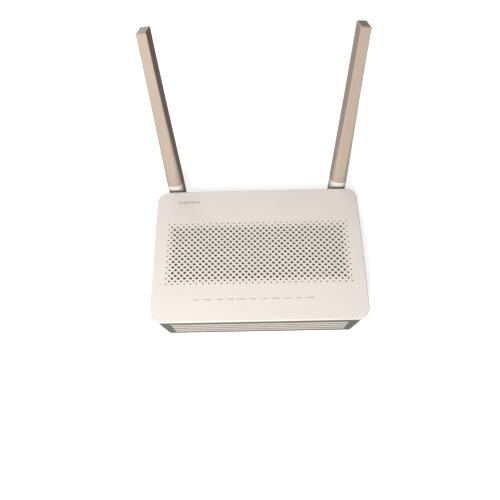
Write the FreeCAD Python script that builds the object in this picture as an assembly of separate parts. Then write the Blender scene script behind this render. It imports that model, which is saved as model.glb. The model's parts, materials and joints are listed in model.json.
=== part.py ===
import FreeCAD, Part
import math
import os

from FreeCAD import Vector

# Optical network terminal with two folding antennas, in millimetres.
# +Z is up, +Y points to the rear, where the sockets are, and +X is the right side seen from the front.
# The origin is the middle of the case in plan, on the plane that the rubber feet stand on.

# Case
CASE_W = 173.0  # cover plate, side to side
CASE_D = 120.0  # cover plate, front to back
CASE_H = 30.0  # feet to the top of the cover plate
PLATE_T = 3.0  # cover plate thickness
PLATE_R = 10.0  # corner radius of the cover plate in plan
PLATE_ROUND = 0.8  # rounding of the cover plate's upper rim
PLATE_UNDER_ROUND = 1.6  # rounding of the cover plate's lower rim
UNDERSIDE_Z = 1.0  # underside of the base above the table
WALL = 2.0  # wall of the base shell
BASE_TOP_W = 162.0  # base shell width under the cover plate
BASE_BOTTOM_W = 151.2  # base shell width at its underside
FRONT_TOP = 59.4  # front wall to the centre, at the top
FRONT_BOTTOM = 59.0  # front wall to the centre, at the underside
REAR_Y = 58.6  # rear wall's outer face
BASE_R = 2.6  # upright corner radius of the base shell
FIT = 0.15  # gap between a moulded part and its cut-out
SKIN = 0.05  # gap between flat parts laid together

# Top vents: two square grids of round holes, one staggered into the other
VENT_PITCH = 5.0
VENT_COLUMNS = 31
VENT_ROWS = 12
VENT_R = 1.25
VENT_EDGE_R = 0.64  # outermost ring
VENT_SECOND_R = 0.92  # next ring in

# Indicators
INDICATORS = 11
INDICATOR_PITCH = 9.03
INDICATOR_X = -50.0  # first indicator
INDICATOR_Y = -41.4
INDICATOR_SKIN = 1.0  # cover left over each light guide tip

# Louvres
FIN_T = 3.1
FIN_PITCH = 4.8
FIN_LOWEST_Z = 5.5  # middle of the lowest fin's front edge
FIN_COUNT = 4
FIN_INSET = 0.3  # fins behind the wall's outer face
FUNNEL_DEPTH = 8.0
WINDOW_BOTTOM = 3.6
WINDOW_TOP = 22.4
FRONT_WINDOW_HALF_TOP = 70.8
FRONT_WINDOW_HALF_BOTTOM = 69.0
SIDE_WINDOW_FRONT = -41.5
LEFT_WINDOW_REAR = -8.0
RIGHT_WINDOW_REAR = 30.0
FLANGE_T = 1.55  # louvre flange behind the wall
FLANGE_LAP = 1.5  # flange overlap round the window

# Circuit board
BOARD_BOTTOM = 7.0
BOARD_T = 1.6
BOARD_TOP = BOARD_BOTTOM + BOARD_T
BOARD_HALF_X = 65.0
BOARD_FRONT = -50.0
BOARD_REAR = 56.0
BOARD_SCREWS = [(-58.0, -44.0), (58.0, -44.0), (-58.0, 18.0), (58.0, 18.0)]
BOARD_SCREW_R = 1.1
BOARD_SCREW_L = 5.0
BOARD_SCREW_HEAD_R = 2.4
BOARD_SCREW_HEAD_T = 1.6
BOARD_HOLE_R = 1.4
POST_R = 3.0
PROCESSOR_X = -8.0
PROCESSOR_Y = 4.0
PROCESSOR_W = 21.0
PROCESSOR_T = 1.6
PAD_W = 20.0
PAD_T = 0.8
SINK_W = 40.0
SINK_BASE_T = 2.0
SINK_H = 8.0
SINK_FINS = 11
SINK_FIN_T = 1.2
CAN_W = 30.0  # radio shield
CAN_D = 24.0
CAN_H = 3.2
CAN_SHEET = 0.3
CAPACITOR_R = 4.0
CAPACITOR_H = 10.0
COAX_X = 56.0  # aerial connectors, either side
COAX_Y = 6.0
COAX_R = 1.3
COAX_H = 1.2

# Case screws, driven from below through deep bosses into stubs under the cover
CASE_SCREWS = [(-70.0, -48.0), (70.0, -48.0), (-70.0, 40.0), (70.0, 40.0)]
BOSS_R = 4.0
BOSS_TOP = 25.0
BOSS_BORE_R = 2.9
BOSS_SEAT_Z = 21.0
STUB_R = 3.2
PILOT_TOP = 28.5  # blind end of the screw hole in the cover
CASE_SCREW_R = 1.25
CASE_SCREW_L = 7.0
CASE_SCREW_HEAD_R = 2.6
CASE_SCREW_HEAD_T = 2.0

# Feet, wall keyholes and label on the underside
FOOT_R = 5.0
FOOT_T = 1.6
FEET = [(-60.0, -48.0), (60.0, -48.0), (-60.0, 46.0), (60.0, 46.0)]
KEYHOLE_SPACING = 100.0
KEYHOLE_HEAD_R = 4.0
KEYHOLE_SLOT_R = 2.1
KEYHOLE_LIFT = 9.0
LABEL_HALF_X = 32.0
LABEL_FRONT = -52.0
LABEL_REAR = -24.0
FLOOR_SLOTS = 13
FLOOR_SLOT_PITCH = 6.0
FLOOR_SLOT_R = 1.2
FLOOR_SLOT_ROWS = [(-14.0, 8.0), (14.0, 36.0)]

# Rear sockets
FACE_Y = 58.2  # faces of the sockets, just inside the rear wall's outer face
JACK_H = 13.4
JACK_D = 15.5
JACK_FLOOR = 3.6  # jack cavity above the board
CAVITY_H = 6.9
CAVITY_D = 12.5
CONTACT_POCKET_H = 1.5
CONTACT_POCKET_SETBACK = 2.6
CONTACT_W = 0.35
CONTACT_PITCH = 1.02
LAN_COUNT = 4
LAN_X = -40.6  # first LAN jack
LAN_PITCH = 15.6
LAN_W = 15.2
LAN_CAVITY_W = 11.9
PHONE_X = 22.0
PHONE_W = 12.0
PHONE_CAVITY_W = 9.8
USB_X = 36.0
USB_HALF_W = 6.55
USB_BOTTOM = 9.0
USB_H = 5.8
USB_SHEET = 0.3
USB_D = 14.0
DC_X = 48.6
DC_Z = 15.1
DC_HALF_W = 4.5
DC_H = 11.0
DC_D = 14.0
DC_BORE_R = 3.15
DC_BORE_D = 9.5
DC_PIN_R = 1.0
OPTICAL_X = -56.5
OPTICAL_Z = 14.4
OPTICAL_HALF_W = 6.3
OPTICAL_H = 11.6
OPTICAL_D = 15.0
OPTICAL_CAVITY_D = 9.5
FERRULE_R = 1.25
SLEEVE_R = 1.6
SLEEVE_L = 10.0
OPTICAL_CAVITY_HALF_W = 4.6
OPTICAL_CAVITY_HALF_H = 3.8
OPTICAL_KEY_HALF_W = 1.2

# Buttons
POWER_X = 58.8
POWER_Z = 14.6
POWER_HALF = 3.5
POWER_TRAVEL = 1.6
POWER_PROUD = 2.2
POWER_CAP_D = 4.0  # cap behind the wall
POWER_STEM_R = 1.6
POWER_STEM_L = 8.9  # stem behind the cap
POWER_SWITCH_HALF = 4.1
POWER_SWITCH_D = 12.5
POWER_SWITCH_H = 10.5
POWER_SWITCH_BORE_D = 9.5
POWER_SPARE_GAP = 0.5  # cap to switch, fully pressed
SIDE_Z = 12.5
SIDE_CAP_X = 79.0  # outer face of a side button
SIDE_CAP_D = 4.4
SIDE_CAP_HALF_W = 3.5
SIDE_CAP_HALF_H = 1.8
SIDE_FLANGE_X = 75.2
SIDE_FLANGE_LAP = 1.1
SIDE_STEM_END_X = 64.2
RESET_HOLE_R = 1.0
RESET_OUTER_X = 68.0
RESET_Y = 2.0
WPS_Y = 12.0
WLAN_Y = 24.0
STEM_R = 1.1
BORE_GAP = 0.05

# Antennas
PIN_X = 71.7
PIN_Y = 70.0
PIN_Z = 16.0
PIN_R = 1.5
LEAN = 25.0  # degrees back from upright
SPLAY = 4.75  # degrees outward
BLADE_L = 142.4  # pin to tip
BLADE_BASE_W = 13.8
BLADE_TIP_W = 8.2
BLADE_TAPER = 1.8  # above 1, the blade narrows fastest near its base
BLADE_STOPS = 6  # sections along the blade
BLADE_BASE_D = 18.0
BLADE_TIP_D = 17.0
BLADE_BASE_R = 5.5
BLADE_TIP_R = 0.7
BLADE_WALL = 1.2
FORK_L = 10.4  # pin to the sleeve's lower edge
FORK_SLOT_L = 6.2
SPIGOT_L = 10.0
TONGUE_HALF = 4.8
TONGUE_R = 5.4
NECK_R = 3.6
NECK_END_Y = 52.6
KNUCKLE_FLANGE_R = 7.2
KNUCKLE_FLANGE_T = 1.6
GROOVE_R = 2.9  # bottom of the clip groove
GROOVE_W = 1.0
GROOVE_SETBACK = 1.4  # groove from the neck's inner end
CABLE_BORE_R = 1.3
CLIP_R = 4.4
CABLE_R = 0.6


def block(x0, x1, y0, y1, z0, z1):
    return Part.makeBox(x1 - x0, y1 - y0, z1 - z0, Vector(x0, y0, z0))


def rod(r, start, direction, length):
    return Part.makeCylinder(r, length, Vector(*start), Vector(*direction))


def rounded_wire(x0, x1, y0, y1, r, z):
    """Outline of a rounded rectangle at height z."""
    k = r * (1 - math.sqrt(0.5))
    sides = [
        ((x0 + r, y0), (x1 - r, y0), (x1 - k, y0 + k)),
        ((x1, y0 + r), (x1, y1 - r), (x1 - k, y1 - k)),
        ((x1 - r, y1), (x0 + r, y1), (x0 + k, y1 - k)),
        ((x0, y1 - r), (x0, y0 + r), (x0 + k, y0 + k)),
    ]
    edges = []
    for i, (start, stop, middle) in enumerate(sides):
        following = sides[(i + 1) % len(sides)][0]
        edges.append(Part.makeLine(Vector(*start, z), Vector(*stop, z)))
        edges.append(Part.Arc(Vector(*stop, z), Vector(*middle, z), Vector(*following, z)).toShape())
    return Part.Wire(edges)


def rounded_block(x0, x1, y0, y1, r, z0, z1):
    return Part.Face(rounded_wire(x0, x1, y0, y1, r, z0)).extrude(Vector(0, 0, z1 - z0))


def pill(points, r, z0, z1):
    """Upright slot between two points, with round ends."""
    (ax, ay), (bx, by) = points
    height = z1 - z0
    ends = rod(r, (ax, ay, z0), (0, 0, 1), height).fuse(rod(r, (bx, by, z0), (0, 0, 1), height))
    if abs(ax - bx) > abs(ay - by):
        return ends.fuse(block(min(ax, bx), max(ax, bx), ay - r, ay + r, z0, z1))
    return ends.fuse(block(ax - r, ax + r, min(ay, by), max(ay, by), z0, z1))


def prism(corners, direction):
    """Straight prism on a polygon of 3-D corners."""
    outline = Part.makePolygon([Vector(*c) for c in corners + corners[:1]])
    return Part.Face(outline).extrude(Vector(*direction))


def joined(first, *others):
    return first.fuse(list(others)).removeSplitter()


def save(name, *shapes):
    """Writes a node: one solid, or a group of separate solids."""
    solids = [solid for shape in shapes for solid in shape.Solids]
    if len(solids) != len(shapes):
        raise ValueError(f"{name} has {len(solids)} solids, not {len(shapes)}")
    if not all(solid.isValid() for solid in solids):
        raise ValueError(f"{name} isn't valid")
    shape = solids[0] if len(solids) == 1 else Part.makeCompound(solids)
    shape.exportStep(f"parts/{name}.step")


# ---- case ----


def blend(bottom, top, z):
    """A length that changes evenly from the underside to the cover plate."""
    share = (z - UNDERSIDE_Z) / (CASE_H - PLATE_T - UNDERSIDE_Z)
    return bottom + (top - bottom) * share


def half_width(z):
    return blend(BASE_BOTTOM_W / 2, BASE_TOP_W / 2, z)


def case_volume(inset, z0, z1):
    """The base's tapered outer form between two heights, shrunk by inset."""
    wires = []
    for z in (z0, z1):
        x = half_width(z) - inset
        front = blend(FRONT_BOTTOM, FRONT_TOP, z) - inset
        wires.append(rounded_wire(-x, x, -front, REAR_Y - inset, max(BASE_R - inset, 0.5), z))
    return Part.makeLoft(wires, True, True)


def case_ring(outer_inset, inner_inset, z0, z1):
    return case_volume(outer_inset, z0, z1).cut(case_volume(inner_inset, z0 - 1, z1 + 1))


def vent_circles():
    """Centre and radius of each hole: the rings get smaller towards the border."""
    circles = []
    for short in (0, 1):
        columns = VENT_COLUMNS - short
        rows = VENT_ROWS - short
        border_r = VENT_SECOND_R if short else VENT_EDGE_R
        for i in range(columns):
            for j in range(rows):
                x = (i - (columns - 1) / 2) * VENT_PITCH
                y = (j - (rows - 1) / 2) * VENT_PITCH
                border = i in (0, columns - 1) or j in (0, rows - 1)
                circles.append((x, y, border_r if border else VENT_R))
    return circles


def indicator_places():
    return [INDICATOR_X + i * INDICATOR_PITCH for i in range(INDICATORS)]


def cover_plate():
    z = CASE_H - PLATE_T
    outline = rounded_wire(-CASE_W / 2, CASE_W / 2, -CASE_D / 2, CASE_D / 2, PLATE_R, z)
    holes = [
        Part.Wire(Part.makeCircle(r, Vector(x, y, z))) for x, y, r in vent_circles()
    ]
    plate = Part.makeFace([outline] + holes, "Part::FaceMakerBullseye").extrude(Vector(0, 0, PLATE_T))
    for height, radius in ((CASE_H, PLATE_ROUND), (z, PLATE_UNDER_ROUND)):
        rim = [
            e
            for e in plate.Edges
            if e.Length > PLATE_R and e.BoundBox.ZLength < 0.01 and abs(e.BoundBox.ZMin - height) < 0.01
        ]
        plate = plate.makeFillet(radius, rim)
    return plate


def top_cover():
    under = CASE_H - PLATE_T
    rim = case_ring(WALL + FLANGE_T + 4 * SKIN, WALL + FLANGE_T + 1.4, under - 1.8, under)
    stubs = [rod(STUB_R, (x, y, BOSS_TOP + SKIN), (0, 0, 1), under - BOSS_TOP - SKIN) for x, y in CASE_SCREWS]
    cover = joined(cover_plate(), rim, *stubs)
    pilots = [rod(CASE_SCREW_R, (x, y, BOSS_TOP), (0, 0, 1), PILOT_TOP - BOSS_TOP) for x, y in CASE_SCREWS]
    pockets = [
        block(x - 1.6, x + 1.6, INDICATOR_Y - 0.7, INDICATOR_Y + 0.7, under - 1, CASE_H - INDICATOR_SKIN)
        for x in indicator_places()
    ]
    return cover.cut(pilots + pockets)


def front_window(grow):
    """Prism through the front wall, with slanted ends that follow the case's taper."""
    top = FRONT_WINDOW_HALF_TOP + grow
    bottom = FRONT_WINDOW_HALF_BOTTOM + grow
    low = WINDOW_BOTTOM - grow
    high = WINDOW_TOP + grow
    y = -FRONT_TOP - 5
    corners = [(-bottom, y, low), (bottom, y, low), (top, y, high), (-top, y, high)]
    return prism(corners, (0, 15, 0))


def side_window(side, rear, grow):
    x0, x1 = sorted((side * 60, side * 90))
    return block(
        x0, x1, SIDE_WINDOW_FRONT - grow, rear + grow, WINDOW_BOTTOM - grow, WINDOW_TOP + grow
    )


def funnel(z):
    """Solid that opens upwards at 45 degrees and meets the base's outer form at height z."""
    wires = []
    for rise in (-FUNNEL_DEPTH, FIN_T + 1):
        x = half_width(z) + rise
        y = blend(FRONT_BOTTOM, FRONT_TOP, z) + rise
        wires.append(rounded_wire(-x, x, -y, y, BASE_R, z + rise))
    return Part.makeLoft(wires, True, True)


def louvre(window, ribs):
    """Fins that fall towards the inside of a window, on a flange that sits behind the wall."""
    low = UNDERSIDE_Z + WALL + SKIN
    flange_ring = case_ring(WALL + SKIN, WALL + FLANGE_T, low, WINDOW_TOP + 2)
    fin_ring = case_ring(FIN_INSET, WALL + 2 * SKIN, low, WINDOW_TOP + 2)
    flange = flange_ring.common(window(FLANGE_LAP)).cut(window(0))
    pieces = [flange_ring.common(window(FLANGE_LAP)).common(rib) for rib in ribs]
    for i in range(FIN_COUNT):
        z = FIN_LOWEST_Z + i * FIN_PITCH
        band = funnel(z - FIN_T / 2).cut(funnel(z + FIN_T / 2))
        pieces.append(flange_ring.common(window(FLANGE_LAP)).common(band))
        pieces.append(fin_ring.common(window(-FIT)).common(band))
    return joined(flange, *pieces)


def front_louvre():
    ribs = [block(x - 0.8, x + 0.8, -100, 0, 0, CASE_H) for x in (-35.0, 0.0, 35.0)]
    return louvre(front_window, ribs)


def left_louvre():
    rib_y = (SIDE_WINDOW_FRONT + LEFT_WINDOW_REAR) / 2
    ribs = [block(-100, 0, rib_y - 0.8, rib_y + 0.8, 0, CASE_H)]
    return louvre(lambda grow: side_window(-1, LEFT_WINDOW_REAR, grow), ribs)


def right_louvre():
    span = RIGHT_WINDOW_REAR - SIDE_WINDOW_FRONT
    places = [SIDE_WINDOW_FRONT + span * i / 3 for i in (1, 2)]
    ribs = [block(0, 100, y - 0.8, y + 0.8, 0, CASE_H) for y in places]
    return louvre(lambda grow: side_window(1, RIGHT_WINDOW_REAR, grow), ribs)


def lan_places():
    return [LAN_X + i * LAN_PITCH for i in range(LAN_COUNT)]


def rear_cuts():
    """Cut-outs of the rear wall for the sockets, the power button and the antenna necks."""
    y0, y1 = REAR_Y - WALL - 1, REAR_Y + 1
    low, high = BOARD_TOP - FIT, BOARD_TOP + JACK_H + FIT
    lan = lan_places()
    cuts = [
        block(lan[0] - LAN_W / 2 - FIT, lan[-1] + LAN_W / 2 + FIT, y0, y1, low, high),
        block(PHONE_X - PHONE_W / 2 - FIT, PHONE_X + PHONE_W / 2 + FIT, y0, y1, low, high),
        block(
            USB_X - USB_HALF_W - FIT,
            USB_X + USB_HALF_W + FIT,
            y0,
            y1,
            USB_BOTTOM - FIT,
            USB_BOTTOM + USB_H + FIT,
        ),
        block(DC_X - DC_HALF_W - FIT, DC_X + DC_HALF_W + FIT, y0, y1, low, BOARD_TOP + DC_H + FIT),
        block(
            OPTICAL_X - OPTICAL_HALF_W - FIT,
            OPTICAL_X + OPTICAL_HALF_W + FIT,
            y0,
            y1,
            low,
            BOARD_TOP + OPTICAL_H + FIT,
        ),
        block(
            POWER_X - POWER_HALF - FIT,
            POWER_X + POWER_HALF + FIT,
            y0,
            y1,
            POWER_Z - POWER_HALF - FIT,
            POWER_Z + POWER_HALF + FIT,
        ),
    ]
    necks = [rod(NECK_R + BORE_GAP, (side * PIN_X, y0, PIN_Z), (0, 1, 0), y1 - y0) for side in (-1, 1)]
    return cuts + necks


def side_pill(y, x0, x1, half_y, half_z, z=SIDE_Z):
    """Bar along X with a rounded-rectangle section."""
    bar = rounded_block(-half_y, half_y, -half_z, half_z, min(half_y, half_z) * 0.9, x0, x1)
    bar.rotate(Vector(0, 0, 0), Vector(1, 1, 1), 120)
    bar.translate(Vector(0, y, z))
    return bar


def side_cuts():
    """Holes of the left wall for two buttons and the reset pin."""
    half_w, half_h = SIDE_CAP_HALF_W + FIT, SIDE_CAP_HALF_H + FIT
    outside, inside = -CASE_W / 2, -SIDE_FLANGE_X + 5
    buttons = [side_pill(y, outside, inside, half_w, half_h) for y in (WPS_Y, WLAN_Y)]
    return buttons + [rod(RESET_HOLE_R, (outside, RESET_Y, SIDE_Z), (1, 0, 0), inside - outside)]


def floor_cuts():
    """Cut-outs of the floor: keyholes, vent slots, foot seats and the label's recess."""
    top = UNDERSIDE_Z + WALL + 1
    cuts = []
    for x in (-KEYHOLE_SPACING / 2, KEYHOLE_SPACING / 2):
        cuts.append(rod(KEYHOLE_HEAD_R, (x, 0, 0), (0, 0, 1), top))
        cuts.append(pill([(x, 0), (x, -KEYHOLE_LIFT)], KEYHOLE_SLOT_R, 0, top))
    for front, rear in FLOOR_SLOT_ROWS:
        for i in range(FLOOR_SLOTS):
            x = (i - (FLOOR_SLOTS - 1) / 2) * FLOOR_SLOT_PITCH
            cuts.append(pill([(x, front), (x, rear)], FLOOR_SLOT_R, 0, top))
    for x, y in FEET:
        cuts.append(rod(FOOT_R + 0.1, (x, y, 0), (0, 0, 1), FOOT_T))
    cuts.append(
        rounded_block(-LABEL_HALF_X, LABEL_HALF_X, LABEL_FRONT, LABEL_REAR, 2, 0, UNDERSIDE_Z + 0.3)
    )
    return cuts


def base_shell():
    rim_z = CASE_H - PLATE_T
    floor_z = UNDERSIDE_Z + WALL
    shell = case_volume(0, UNDERSIDE_Z, rim_z).cut(case_volume(WALL, floor_z, rim_z + 1))
    bosses = [rod(BOSS_R, (x, y, floor_z - 1), (0, 0, 1), BOSS_TOP - floor_z + 1) for x, y in CASE_SCREWS]
    posts = [rod(POST_R, (x, y, floor_z - 1), (0, 0, 1), BOARD_BOTTOM - floor_z + 1) for x, y in BOARD_SCREWS]
    shell = joined(shell, *bosses, *posts)
    cuts = [front_window(0), side_window(-1, LEFT_WINDOW_REAR, 0), side_window(1, RIGHT_WINDOW_REAR, 0)]
    for x, y in CASE_SCREWS:
        cuts.append(rod(BOSS_BORE_R, (x, y, 0), (0, 0, 1), BOSS_SEAT_Z))
        cuts.append(rod(1.6, (x, y, 0), (0, 0, 1), CASE_H))
    for x, y in BOARD_SCREWS:
        cuts.append(rod(BOARD_SCREW_R, (x, y, floor_z), (0, 0, 1), BOARD_BOTTOM))
    return shell.cut(cuts + rear_cuts() + side_cuts() + floor_cuts())


def pan_screw(x, y, seat_z, up, head_r, head_t, shank_r, length):
    """Pan-head screw along Z with a cross recess. up is the way the shank points."""
    head = rod(head_r, (x, y, seat_z), (0, 0, -up), head_t)
    shank = rod(shank_r, (x, y, seat_z), (0, 0, up), length)
    low, high = sorted((seat_z - up * head_t * 0.5, seat_z - up * head_t * 2))
    arm = head_r * 0.62
    cross = [
        block(x - arm, x + arm, y - 0.35, y + 0.35, low, high),
        block(x - 0.35, x + 0.35, y - arm, y + arm, low, high),
    ]
    return joined(head, shank).cut(cross)


def case_screws():
    return [
        pan_screw(
            x, y, BOSS_SEAT_Z, 1, CASE_SCREW_HEAD_R, CASE_SCREW_HEAD_T, CASE_SCREW_R, CASE_SCREW_L
        )
        for x, y in CASE_SCREWS
    ]


def board_screws():
    return [
        pan_screw(
            x, y, BOARD_TOP, -1, BOARD_SCREW_HEAD_R, BOARD_SCREW_HEAD_T, BOARD_SCREW_R, BOARD_SCREW_L
        )
        for x, y in BOARD_SCREWS
    ]


def rubber_feet():
    feet = []
    for x, y in FEET:
        foot = rod(FOOT_R, (x, y, 0), (0, 0, 1), FOOT_T)
        lower_edge = [e for e in foot.Edges if e.BoundBox.ZMax < 0.01]
        feet.append(foot.makeFillet(0.5, lower_edge))
    return feet


def rating_label():
    gap = 0.3
    return rounded_block(
        gap - LABEL_HALF_X,
        LABEL_HALF_X - gap,
        LABEL_FRONT + gap,
        LABEL_REAR - gap,
        2,
        UNDERSIDE_Z + 0.05,
        UNDERSIDE_Z + 0.3,
    )


# ---- board and the parts on it ----


def light_guide():
    """Bar with a light post over each LED, up to just under the cover's skin."""
    places = indicator_places()
    bar = block(places[0] - 3, places[-1] + 3, INDICATOR_Y - 1.6, INDICATOR_Y + 1.6, 19.0, 22.0)
    bottom = BOARD_TOP + 1.0
    top = CASE_H - INDICATOR_SKIN - SKIN
    posts = [block(x - 1.5, x + 1.5, INDICATOR_Y - 0.6, INDICATOR_Y + 0.6, bottom, top) for x in places]
    return joined(bar, *posts)


def indicator_leds():
    return [
        block(x - 1.0, x + 1.0, INDICATOR_Y - 0.6, INDICATOR_Y + 0.6, BOARD_TOP, BOARD_TOP + 0.8)
        for x in indicator_places()
    ]


def main_board():
    board = rounded_block(-BOARD_HALF_X, BOARD_HALF_X, BOARD_FRONT, BOARD_REAR, 1.5, BOARD_BOTTOM, BOARD_TOP)
    return board.cut([rod(BOARD_HOLE_R, (x, y, 0), (0, 0, 1), CASE_H) for x, y in BOARD_SCREWS])


def on_board(x, y, width, depth, height, lift=0.0):
    """Rectangular part that stands on the board, or on something lift above it."""
    z = BOARD_TOP + lift
    return block(x - width / 2, x + width / 2, y - depth / 2, y + depth / 2, z, z + height)


def heat_sink():
    lift = PROCESSOR_T + PAD_T
    base = on_board(PROCESSOR_X, PROCESSOR_Y, SINK_W, SINK_W, SINK_BASE_T, lift)
    pitch = (SINK_W - SINK_FIN_T) / (SINK_FINS - 1)
    first = PROCESSOR_X - (SINK_W - SINK_FIN_T) / 2
    fins = [
        on_board(first + i * pitch, PROCESSOR_Y, SINK_FIN_T, SINK_W, SINK_H, lift)
        for i in range(SINK_FINS)
    ]
    return joined(base, *fins)


def shield_can(x, y):
    """Sheet-metal can, open underneath."""
    inside = on_board(x, y, CAN_W - 2 * CAN_SHEET, CAN_D - 2 * CAN_SHEET, CAN_H - CAN_SHEET)
    return on_board(x, y, CAN_W, CAN_D, CAN_H).cut(inside)


def capacitors():
    cans = []
    for x in (30.0, 39.0, 48.6):
        can = rod(CAPACITOR_R, (x, 36.0, BOARD_TOP), (0, 0, 1), CAPACITOR_H)
        cans.append(can.makeFillet(0.6, [e for e in can.Edges if e.BoundBox.ZMin > BOARD_TOP + 1]))
    return cans


def power_inductors():
    return [
        rounded_block(x - 3.5, x + 3.5, y - 3.5, y + 3.5, 1.2, BOARD_TOP, BOARD_TOP + 4)
        for x, y in ((46.0, 25.0), (36.0, 25.0), (46.0, 15.0))
    ]


def tact_switch(y):
    """Side-acting switch on the board's left edge, with a bore for its plunger."""
    x = -BOARD_HALF_X
    body = block(x, x + 4, y - 3, y + 3, BOARD_TOP, BOARD_TOP + 8)
    return body.cut(rod(STEM_R + BORE_GAP, (x - 1, y, SIDE_Z), (1, 0, 0), 3.2))


def coax_connectors():
    return [rod(COAX_R, (side * COAX_X, COAX_Y, BOARD_TOP), (0, 0, 1), COAX_H) for side in (-1, 1)]


# ---- sockets and switches at the rear ----


def modular_jack(x, width, cavity_w, key_w):
    """Housing of an 8-way or 4-way modular jack, with its latch keyway and contact pocket."""
    floor_z = BOARD_TOP + JACK_FLOOR
    ceiling = floor_z + CAVITY_H
    body = block(x - width / 2, x + width / 2, FACE_Y - JACK_D, FACE_Y, BOARD_TOP, BOARD_TOP + JACK_H)
    back = FACE_Y - CAVITY_D
    front = FACE_Y + 1
    half = cavity_w / 2
    pocket_front = FACE_Y - CONTACT_POCKET_SETBACK
    return body.cut(
        [
            block(x - half, x + half, back, front, floor_z, ceiling),
            block(x - key_w / 2, x + key_w / 2, back, front, floor_z - 1.5, floor_z + 1),
            block(x - key_w / 4, x + key_w / 4, back, front, floor_z - 2.8, floor_z + 1),
            block(x - half + 1, x + half - 1, back, pocket_front, ceiling - 1, ceiling + CONTACT_POCKET_H),
        ]
    )


def jack_contacts(x, count):
    """Spring contacts that slope down from the pocket's front wall into the cavity."""
    ceiling = BOARD_TOP + JACK_FLOOR + CAVITY_H
    front = FACE_Y - CONTACT_POCKET_SETBACK
    back = FACE_Y - CAVITY_D + 1
    contacts = []
    for i in range(count):
        left = x + (i - (count - 1) / 2) * CONTACT_PITCH - CONTACT_W / 2
        corners = [
            (left, front, ceiling + 0.5),
            (left, front, ceiling + 0.9),
            (left, back, ceiling - 1.4),
            (left, back, ceiling - 1.8),
        ]
        contacts.append(prism(corners, (CONTACT_W, 0, 0)))
    return contacts


def lan_contacts():
    return [contact for x in lan_places() for contact in jack_contacts(x, 8)]


def usb_inside():
    return (
        USB_X - USB_HALF_W + USB_SHEET,
        USB_X + USB_HALF_W - USB_SHEET,
        USB_BOTTOM + USB_SHEET,
        USB_BOTTOM + USB_H - USB_SHEET,
    )


def usb_port():
    """Sheet-metal shell of a USB type A port."""
    x0, x1, z0, z1 = usb_inside()
    back = FACE_Y - USB_D
    shell = block(
        USB_X - USB_HALF_W, USB_X + USB_HALF_W, back, FACE_Y, USB_BOTTOM, USB_BOTTOM + USB_H
    )
    legs = [
        block(x - 1, x + 1, back + 4, back + 7, BOARD_TOP, USB_BOTTOM)
        for x in (USB_X - 4.5, USB_X + 4.5)
    ]
    return joined(shell, *legs).cut(block(x0, x1, back - 1, FACE_Y + 1, z0, z1))


def usb_tongue():
    x0, x1, z0, z1 = usb_inside()
    back = FACE_Y - USB_D
    holder = block(x0, x1, back, back + 3, z0, z1)
    tongue = block(USB_X - 5.5, USB_X + 5.5, back + 2, FACE_Y - 1.2, z1 - 3.1, z1 - 1.3)
    return joined(holder, tongue)


def dc_jack():
    body = block(DC_X - DC_HALF_W, DC_X + DC_HALF_W, FACE_Y - DC_D, FACE_Y, BOARD_TOP, BOARD_TOP + DC_H)
    return body.cut(rod(DC_BORE_R, (DC_X, FACE_Y - DC_BORE_D, DC_Z), (0, 1, 0), DC_BORE_D + 1))


def dc_pin():
    tip = 0.4
    length = DC_BORE_D - 1.0 - tip
    start = FACE_Y - DC_BORE_D
    shank = rod(DC_PIN_R, (DC_X, start, DC_Z), (0, 1, 0), length)
    end = Part.makeCone(DC_PIN_R, DC_PIN_R - tip, tip, Vector(DC_X, start + length, DC_Z), Vector(0, 1, 0))
    return joined(shank, end)


def optical_socket():
    """Push-pull optical adapter with its key slot and the seat of the alignment sleeve."""
    x, z = OPTICAL_X, OPTICAL_Z
    body = block(
        x - OPTICAL_HALF_W, x + OPTICAL_HALF_W, FACE_Y - OPTICAL_D, FACE_Y, BOARD_TOP, BOARD_TOP + OPTICAL_H
    )
    back = FACE_Y - OPTICAL_CAVITY_D
    return body.cut(
        [
            block(
                x - OPTICAL_CAVITY_HALF_W,
                x + OPTICAL_CAVITY_HALF_W,
                back,
                FACE_Y + 1,
                z - OPTICAL_CAVITY_HALF_H,
                z + OPTICAL_CAVITY_HALF_H,
            ),
            block(
                x - OPTICAL_KEY_HALF_W,
                x + OPTICAL_KEY_HALF_W,
                back,
                FACE_Y + 1,
                z,
                z + OPTICAL_CAVITY_HALF_H + 1,
            ),
            rod(SLEEVE_R + 0.02, (x, FACE_Y - OPTICAL_D - 1, z), (0, 1, 0), OPTICAL_D),
        ]
    )


def ferrule_sleeve():
    start = (OPTICAL_X, FACE_Y - OPTICAL_D + 0.5, OPTICAL_Z)
    outside = rod(SLEEVE_R, start, (0, 1, 0), SLEEVE_L)
    return outside.cut(rod(FERRULE_R, start, (0, 1, 0), SLEEVE_L))


def optical_module():
    """Laser and receiver cans on a short barrel behind the optical socket."""
    x, z = OPTICAL_X, OPTICAL_Z
    end = FACE_Y - OPTICAL_D
    barrel = rod(3.2, (x, end - 13, z), (0, 1, 0), 13)
    laser = rod(2.7, (x, end - 17, z), (0, 1, 0), 5)
    receiver = rod(2.7, (x, end - 8, z), (1, 0, 0), 6.5)
    foot = block(x - 2.5, x + 2.5, end - 12, end - 3, BOARD_TOP, z)
    return joined(barrel, laser, receiver, foot)


def power_cap_end():
    return REAR_Y - WALL - POWER_CAP_D


def power_switch():
    """Push switch on the board, with a bore for the button's stem."""
    front = power_cap_end() - POWER_TRAVEL - POWER_SPARE_GAP
    body = block(
        POWER_X - POWER_SWITCH_HALF,
        POWER_X + POWER_SWITCH_HALF,
        front - POWER_SWITCH_D,
        front,
        BOARD_TOP,
        BOARD_TOP + POWER_SWITCH_H,
    )
    bore_start = (POWER_X, front - POWER_SWITCH_BORE_D, POWER_Z)
    return body.cut(rod(POWER_STEM_R + BORE_GAP, bore_start, (0, 1, 0), POWER_SWITCH_D))


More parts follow.
